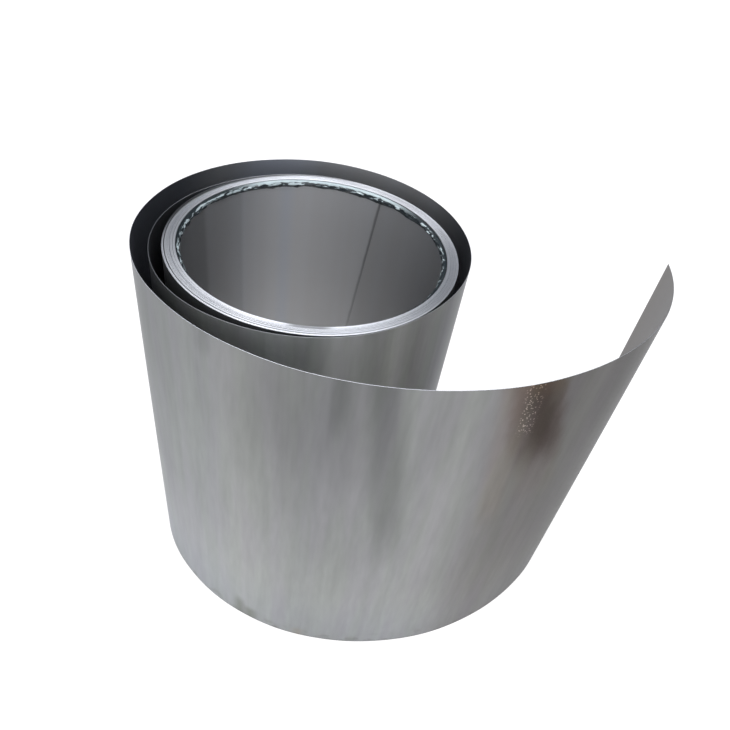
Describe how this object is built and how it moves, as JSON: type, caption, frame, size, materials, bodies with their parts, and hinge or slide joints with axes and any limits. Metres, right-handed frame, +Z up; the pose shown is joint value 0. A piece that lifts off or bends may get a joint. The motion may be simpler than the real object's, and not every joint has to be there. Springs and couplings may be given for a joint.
{
  "type": "stainless steel coil",
  "caption": "Coil of thin bright stainless steel strip standing on end, with a round bore, tight inner turns, one loose turn and a free outer end that opens out as a tail.",
  "frame": {"origin": "on the axis of the bore, at the level of the lower end that the coil stands on", "axes": "+Z up along the bore; the tail opens out towards +X and -Y"},
  "size_m": [0.6382, 0.4407, 0.5006],
  "materials": {
    "steel": "cold-rolled, bright, with fine drawn streaks across the strip and scattered marks",
    "film": "clear thin plastic film, crumpled and glossy"
  },
  "bodies": {
    "root": {"steel_strip": "steel", "film_edge": "film"}
  },
  "joints": []
}
